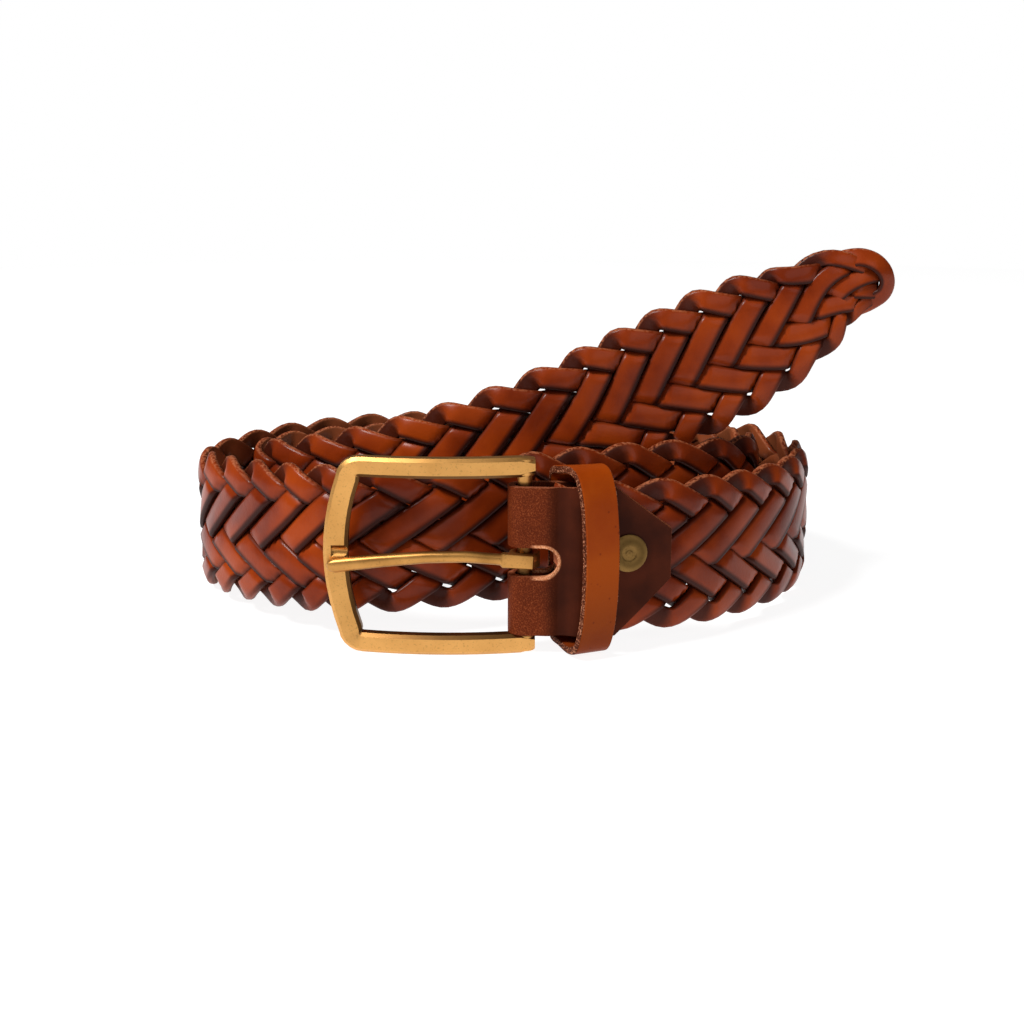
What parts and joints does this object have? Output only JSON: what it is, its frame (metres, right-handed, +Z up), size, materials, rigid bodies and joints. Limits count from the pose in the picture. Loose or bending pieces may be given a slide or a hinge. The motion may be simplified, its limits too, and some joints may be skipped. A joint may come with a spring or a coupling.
{
  "type": "braided belt",
  "caption": "Braided leather belt, rolled up on its edge with its pointed end rising across the roll, with a curved brass frame buckle, a leather keeper loop and a riveted fold.",
  "frame": {"origin": "under the centre of the bounding box, at the level of the surface that the belt stands on", "axes": "+Z up across the strap's width, +X along the buckle's length towards the free end's tip, and -Y out of the front, where the buckle is"},
  "size_m": [0.1772, 0.1278, 0.089],
  "materials": {
    "braid_leather": "semi-gloss red-brown leather strands",
    "fold_leather": "semi-gloss dark brown leather with a fine grain",
    "keeper_leather": "smooth orange-tan leather",
    "satin_brass": "satin, a little aged",
    "aged_brass": "dull and darkened"
  },
  "bodies": {
    "strap": {"braided_strap": "braid_leather", "buckle_fold": "fold_leather", "keeper_loop": "keeper_leather", "rivet": "aged_brass"},
    "frame": {"buckle_frame": "satin_brass"},
    "prong": {"buckle_prong": "satin_brass"}
  },
  "joints": [
    {"name": "frame_swing", "type": "hinge", "parent": "strap", "child": "frame", "pos_m": [-0.00436, -0.05291, 0.02207], "axis": [0, 0, 1], "range_deg": [0, 45]},
    {"name": "prong_swing", "type": "hinge", "parent": "frame", "child": "prong", "pos_m": [-0.00436, -0.05291, 0.02207], "axis": [0, 0, 1], "range_deg": [0, 68]}
  ]
}
